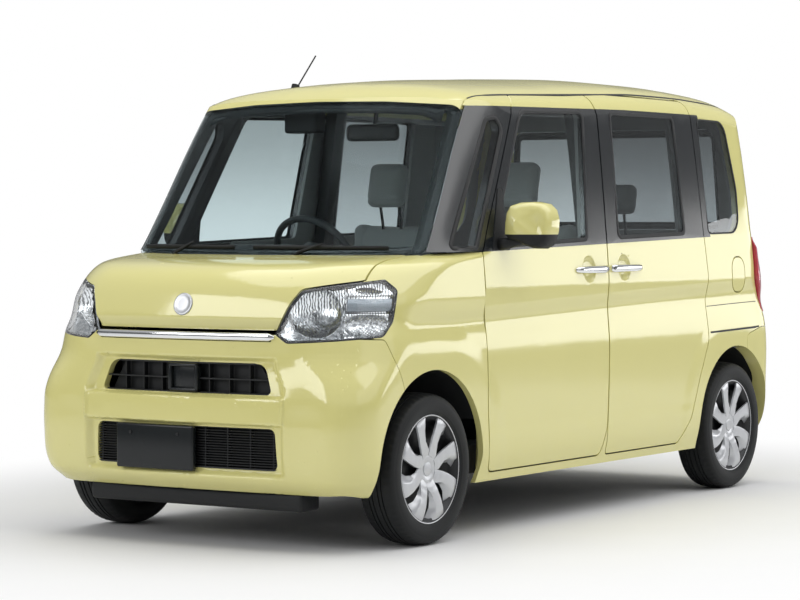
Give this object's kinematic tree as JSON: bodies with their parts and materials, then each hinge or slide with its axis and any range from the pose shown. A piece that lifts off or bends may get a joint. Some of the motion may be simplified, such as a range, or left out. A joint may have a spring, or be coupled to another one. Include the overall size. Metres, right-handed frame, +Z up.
{
  "type": "kei car",
  "caption": "Small tall one-box passenger car with hinged front doors, sliding rear side doors, bonnet, tailgate, steering and rolling wheels.",
  "frame": {"origin": "on the ground, at the middle of the length and width", "axes": "+Z up, the front faces -Y, the left side of the car is +X"},
  "size_m": [1.81, 3.3955, 1.814],
  "materials": {
    "paint": "gloss pastel yellow paint",
    "glass": "clear glass",
    "privacy_glass": "dark privacy glass",
    "black_trim": "gloss black trim",
    "black_plastic": "grained black plastic",
    "bright_bar": "chromed trim",
    "lamp": "clear lamp cover over a bright reflector",
    "tail_lamp": "red lamp cover",
    "cast_steel": "dark cast and pressed steel",
    "underbody": "black underbody coat",
    "aluminium": "cast aluminium",
    "wheel_cover": "silver paint",
    "tyre": "tyre rubber",
    "seat_cloth": "woven seat cloth",
    "dash": "grained dark plastic"
  },
  "bodies": {
    "body": {"floor_pan": "underbody", "firewall": "underbody", "front_frame": "underbody", "radiator": "aluminium", "engine": "aluminium", "fuel_tank": "black_plastic", "wheelhouses": "black_plastic", "exhaust": "cast_steel", "front_suspension": "cast_steel", "rear_axle": "cast_steel", "front_bumper": "paint", "rear_bumper": "paint", "fender_left": "paint", "fender_right": "paint", "side_frame_left": "paint", "side_frame_right": "paint", "roof_panel": "paint", "slide_door_left": "paint", "slide_door_right": "paint", "grille_bar": "bright_bar", "grilles": "black_plastic", "headlamps": "lamp", "tail_lamps": "tail_lamp", "windscreen": "glass", "side_glass": "privacy_glass", "centre_pillars": "black_trim", "dashboard": "dash", "steering_column": "dash", "front_seats": "seat_cloth", "rear_seats": "seat_cloth", "antenna": "black_plastic"},
    "front_door_left": {"front_door_left": "paint", "front_door_glass_left": "glass", "mirror_left": "paint"},
    "front_door_right": {"front_door_right": "paint", "front_door_glass_right": "glass", "mirror_right": "paint"},
    "bonnet": {"bonnet": "paint"},
    "tailgate": {"tailgate": "paint", "tailgate_glass": "privacy_glass"},
    "fuel_lid": {"fuel_lid": "paint"},
    "steering_wheel": {"steering_wheel": "dash"},
    "knuckle_left": {"knuckle_left": "cast_steel"},
    "knuckle_right": {"knuckle_right": "cast_steel"},
    "wheel_front_left": {"wheel_front_left": "wheel_cover", "tyre_front_left": "tyre"},
    "wheel_front_right": {"wheel_front_right": "wheel_cover", "tyre_front_right": "tyre"},
    "wheel_rear_left": {"wheel_rear_left": "wheel_cover", "tyre_rear_left": "tyre"},
    "wheel_rear_right": {"wheel_rear_right": "wheel_cover", "tyre_rear_right": "tyre"}
  },
  "joints": [
    {"name": "steer_left", "type": "hinge", "parent": "body", "child": "knuckle_left", "pos_m": [0.6, -1.1575, 0.19], "axis": [-0.2079, 0, 0.9781], "range_deg": [-35, 35]},
    {"name": "steer_right", "type": "hinge", "parent": "body", "child": "knuckle_right", "pos_m": [-0.6, -1.1575, 0.19], "axis": [0.2079, 0, 0.9781], "range_deg": [-35, 35]},
    {"name": "steering", "type": "hinge", "parent": "body", "child": "steering_wheel", "pos_m": [-0.33, -0.3575, 1.016], "axis": [0, 0.848, 0.5299], "range_deg": [-560, 560]},
    {"name": "spin_front_left", "type": "hinge", "parent": "knuckle_left", "child": "wheel_front_left", "pos_m": [0.6525, -1.1575, 0.272], "axis": [1, 0, 0], "continuous": true},
    {"name": "spin_rear_left", "type": "hinge", "parent": "body", "child": "wheel_rear_left", "pos_m": [0.6475, 1.2975, 0.272], "axis": [1, 0, 0], "continuous": true},
    {"name": "front_door_left", "type": "hinge", "parent": "body", "child": "front_door_left", "pos_m": [0.7385, -0.8005, 0.7], "axis": [0, 0, -1], "range_deg": [0, 70]},
    {"name": "spin_front_right", "type": "hinge", "parent": "knuckle_right", "child": "wheel_front_right", "pos_m": [-0.6525, -1.1575, 0.272], "axis": [1, 0, 0], "continuous": true},
    {"name": "spin_rear_right", "type": "hinge", "parent": "body", "child": "wheel_rear_right", "pos_m": [-0.6475, 1.2975, 0.272], "axis": [1, 0, 0], "continuous": true},
    {"name": "front_door_right", "type": "hinge", "parent": "body", "child": "front_door_right", "pos_m": [-0.7385, -0.8005, 0.7], "axis": [0, 0, 1], "range_deg": [0, 70]},
    {"name": "bonnet_lift", "type": "hinge", "parent": "body", "child": "bonnet", "pos_m": [0, -1.1115, 1.036], "axis": [-1, 0, 0], "range_deg": [0, 50]},
    {"name": "tailgate_lift", "type": "hinge", "parent": "body", "child": "tailgate", "pos_m": [0, 1.5425, 1.665], "axis": [1, 0, 0], "range_deg": [0, 80]},
    {"name": "fuel_lid_swing", "type": "hinge", "parent": "body", "child": "fuel_lid", "pos_m": [0.736, 1.2635, 0.923], "axis": [0, 0, -1], "range_deg": [0, 85]}
  ],
  "couplings": [
    {"joint": "steer_right", "follows": "steer_left", "ratio": 1},
    {"joint": "steering", "follows": "steer_left", "ratio": 16}
  ]
}
